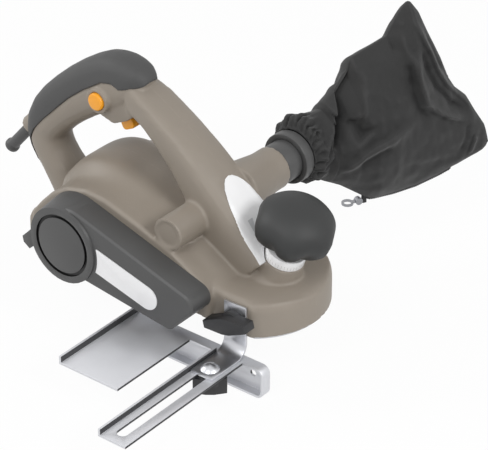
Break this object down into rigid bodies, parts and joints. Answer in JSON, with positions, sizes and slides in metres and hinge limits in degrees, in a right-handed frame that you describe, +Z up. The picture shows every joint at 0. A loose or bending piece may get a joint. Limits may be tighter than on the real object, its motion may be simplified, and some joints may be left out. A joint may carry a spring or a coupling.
{
  "type": "electric hand planer",
  "caption": "Hand-held electric planer with a looped handle, turned depth knob, side belt cover, cloth chip bag and a sliding parallel edge guide.",
  "frame": {"origin": "on the rear shoe's running face, mid width, at half the sole's length", "axes": "+X towards the toe with the depth knob, +Y towards the chip outlet, +Z up out of the sole"},
  "size_m": [0.315, 0.4334, 0.2245],
  "materials": {
    "body_shell": "fine moulded texture",
    "soft_grip": "matt",
    "dark_plastic": "satin",
    "white_plastic": "gloss",
    "orange_plastic": "gloss",
    "black_plastic": "satin",
    "cast_sole": "milled",
    "bright_steel": "zinc plated",
    "machined_steel": "machined",
    "laminations": "varnished",
    "copper": "bare",
    "carbon": "pressed carbon",
    "belt_rubber": "matt",
    "bag_cloth": "woven"
  },
  "bodies": {
    "machine": {"near_housing": "body_shell", "far_housing": "body_shell", "grip_overmould": "soft_grip", "front_panel": "white_plastic", "belt_cover": "dark_plastic", "label_plate": "white_plastic", "housing_screws": "machined_steel", "rear_shoe": "cast_sole", "shoe_screws": "machined_steel", "depth_spring": "machined_steel", "drum_bearings": "machined_steel", "bearing_cap": "dark_plastic", "stator": "laminations", "motor_bearings": "machined_steel", "brush_holders": "copper", "carbon_brushes": "carbon", "drive_belt": "belt_rubber", "switch_body": "black_plastic", "cord_guard": "belt_rubber", "foot_pin": "machined_steel", "guide_bracket": "bright_steel", "carriage_bolt": "bright_steel"},
    "front_sole": {"front_shoe": "cast_sole", "shoe_guide_pins": "machined_steel"},
    "knob": {"depth_spindle": "machined_steel", "depth_ring": "white_plastic", "depth_knob": "dark_plastic"},
    "drum": {"cutter_drum": "machined_steel", "blades": "machined_steel", "blade_clamps": "machined_steel", "clamp_screws": "machined_steel", "drum_pulley": "black_plastic", "pulley_nut": "machined_steel"},
    "rotor": {"armature": "laminations", "motor_shaft": "machined_steel", "commutator": "copper", "motor_fan": "black_plastic", "motor_pulley": "black_plastic"},
    "trigger_key": {"trigger": "orange_plastic"},
    "lock": {"lock_button": "orange_plastic"},
    "bag": {"chip_adapter": "dark_plastic", "bag_collar": "dark_plastic", "dust_bag": "bag_cloth", "bag_zip": "bag_cloth"},
    "pull": {"zip_pull": "bright_steel"},
    "foot": {"park_foot": "dark_plastic"},
    "clamp_knob": {"bracket_knob": "black_plastic", "bracket_stud": "bright_steel"},
    "fence": {"guide_bar": "bright_steel", "fence_plate": "bright_steel"},
    "nut": {"wing_nut": "black_plastic"}
  },
  "joints": [
    {"name": "depth_turn", "type": "hinge", "parent": "machine", "child": "knob", "pos_m": [0.0912, 0, 0.0458], "axis": [0.309, 0, 0.9511], "range_deg": [0, 288]},
    {"name": "shoe_lift", "type": "slide", "parent": "machine", "child": "front_sole", "axis": [0.309, 0, 0.9511], "range_m": [0, 0.002], "deforming": ["depth_spring"]},
    {"name": "drum_spin", "type": "hinge", "parent": "machine", "child": "drum", "pos_m": [0.028, 0, 0.022], "axis": [0, 1, 0], "continuous": true},
    {"name": "motor_spin", "type": "hinge", "parent": "machine", "child": "rotor", "pos_m": [-0.058, 0, 0.036], "axis": [0, 1, 0], "continuous": true},
    {"name": "trigger_press", "type": "slide", "parent": "machine", "child": "trigger_key", "axis": [-0.4478, 0, 0.8942], "range_m": [0, 0.005], "stiffness_N_per_m": 600, "springref_m": -0.003},
    {"name": "lock_press", "type": "slide", "parent": "machine", "child": "lock", "axis": [0, 1, 0], "range_m": [0, 0.0025], "stiffness_N_per_m": 800, "springref_m": -0.002},
    {"name": "bag_pull_off", "type": "slide", "parent": "machine", "child": "bag", "axis": [0, 1, 0], "range_m": [0, 0.02]},
    {"name": "pull_swing", "type": "hinge", "parent": "bag", "child": "pull", "pos_m": [0.05456, 0.14331, 0.014], "axis": [0.893, -0.45, 0], "range_deg": [0, 75]},
    {"name": "foot_fold", "type": "hinge", "parent": "machine", "child": "foot", "pos_m": [-0.115, -0.036, 0.013], "axis": [0, 1, 0], "range_deg": [0, 45], "stiffness_Nm_per_rad": 0.04, "springref_deg": -28.65},
    {"name": "bracket_knob_turn", "type": "hinge", "parent": "machine", "child": "clamp_knob", "pos_m": [0.084, -0.055, 0.014], "axis": [0, -1, 0], "continuous": true},
    {"name": "fence_slide", "type": "slide", "parent": "machine", "child": "fence", "axis": [0, 1, 0], "range_m": [0, 0.09]},
    {"name": "wing_nut_turn", "type": "hinge", "parent": "machine", "child": "nut", "pos_m": [0.084, -0.078, -0.024], "axis": [0, 0, -1], "continuous": true}
  ],
  "couplings": [
    {"joint": "depth_turn", "follows": "shoe_lift", "rad_per_m": 2513.3},
    {"joint": "motor_spin", "follows": "drum_spin", "ratio": 1.0833}
  ]
}
